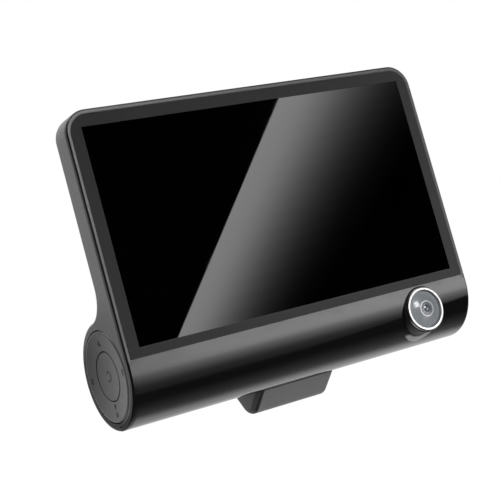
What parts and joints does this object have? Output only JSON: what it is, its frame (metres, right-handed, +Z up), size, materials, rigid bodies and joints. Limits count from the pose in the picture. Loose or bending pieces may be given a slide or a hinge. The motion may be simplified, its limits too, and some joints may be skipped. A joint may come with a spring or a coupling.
{
  "type": "dash camera",
  "caption": "Dash camera: wide screen on a slim slab growing out of a round bar, with a cabin lens, end keys and a tilting road camera behind.",
  "frame": {"origin": "middle of the flat floor of the T-slot that takes the windscreen bracket's foot, on the back near the top", "axes": "+X to the driver's right along the bar, the longest side; +Y out of the back towards the road, square to the slot's floor; +Z up"},
  "size_m": [0.0957, 0.0327, 0.075],
  "materials": {
    "case_gloss": "high-gloss black, the front cover",
    "case_matt": "finely textured dark grey",
    "bezel_matt": "matt black frame round the screen",
    "key_matt": "satin dark grey keys",
    "key_inner": "plain moulded nylon",
    "socket_plastic": "glass-filled black nylon",
    "lens_black": "flat black inside the lenses",
    "collar_gloss": "black collar",
    "trim_silver": "bright satin ring",
    "trim_dark": "dark ring",
    "lens_glass": "coated optical glass",
    "screen_glass": "black screen glass, polished",
    "panel": "liquid-crystal panel, switched off",
    "tray_metal": "pressed tray",
    "foam": "closed-cell gasket",
    "silicone": "grey silicone mat",
    "circuit_board": "green solder mask with copper tracks",
    "chip": "black moulded package",
    "flex_film": "amber polyimide ribbon",
    "shield_steel": "tinned steel can",
    "port_steel": "nickel-plated shell",
    "port_plastic": "black contact block",
    "screw_steel": "blackened screws",
    "bracket_steel": "zinc-plated plate",
    "washer_fibre": "natural acetal washer",
    "battery_wrap": "blue film wrap",
    "speaker_cone": "black coated paper",
    "dome_steel": "snap domes"
  },
  "bodies": {
    "case": {"front_cover": "case_gloss", "rear_cover": "case_matt", "bracket_socket": "socket_plastic", "socket_screws": "screw_steel", "case_screws": "screw_steel", "screen_bezel": "bezel_matt", "display_glass": "screen_glass", "display_gasket": "foam", "display_panel": "panel", "backlight_tray": "tray_metal", "display_flex": "flex_film", "main_board": "circuit_board", "shield_can": "shield_steel", "board_chips": "chip", "port_board": "circuit_board", "usb_socket": "port_steel", "usb_tongue": "port_plastic", "av_jack": "port_plastic", "microphone": "port_steel", "card_board": "circuit_board", "card_socket": "port_steel", "speaker_frame": "chip", "speaker_cone": "speaker_cone", "battery": "battery_wrap", "cabin_lens_collar": "collar_gloss", "cabin_lens_ring": "trim_silver", "cabin_lens_glass": "lens_glass", "cabin_lens_baffle": "lens_black", "cabin_lens_element": "lens_glass", "cabin_lens_seat": "lens_black", "cabin_sensor_board": "circuit_board", "cabin_camera_flex": "flex_film", "key_frame": "key_inner", "key_mat": "silicone", "key_switches": "dome_steel", "key_board": "circuit_board", "key_screws": "screw_steel", "key_flex": "flex_film", "lens_bracket_left": "bracket_steel", "lens_bracket_right": "bracket_steel", "friction_washers": "washer_fibre"},
    "front_camera": {"front_camera_housing": "case_matt", "front_camera_cap": "case_matt", "front_camera_back": "key_inner", "front_lens_barrel": "lens_black", "front_lens_ring": "trim_dark", "front_lens_glass": "lens_glass", "front_lens_element": "lens_glass", "front_lens_holder": "lens_black", "front_sensor_board": "circuit_board", "cap_screws": "screw_steel"},
    "rocker_gimbal": {"rocker_gimbal": "key_inner"},
    "nav_ring": {"nav_ring": "key_matt"},
    "ok_button": {"ok_button": "key_matt"}
  },
  "joints": [
    {"name": "front_camera_tilt", "type": "hinge", "parent": "case", "child": "front_camera", "pos_m": [0, 0.0043, -0.04585], "axis": [1, 0, 0], "range_deg": [0, 48]},
    {"name": "rocker_fore_aft", "type": "hinge", "parent": "case", "child": "rocker_gimbal", "pos_m": [-0.0439, 0.0043, -0.04585], "axis": [0, 0, 1], "range_deg": [-1.8, 1.8], "stiffness_Nm_per_rad": 2},
    {"name": "rocker_up_down", "type": "hinge", "parent": "rocker_gimbal", "child": "nav_ring", "pos_m": [-0.0453, 0.0043, -0.04585], "axis": [0, 1, 0], "range_deg": [-1.8, 1.8], "stiffness_Nm_per_rad": 2},
    {"name": "ok_press", "type": "slide", "parent": "case", "child": "ok_button", "axis": [1, 0, 0], "range_m": [0, 0.0004], "stiffness_N_per_m": 1500, "springref_m": -0.0006}
  ]
}
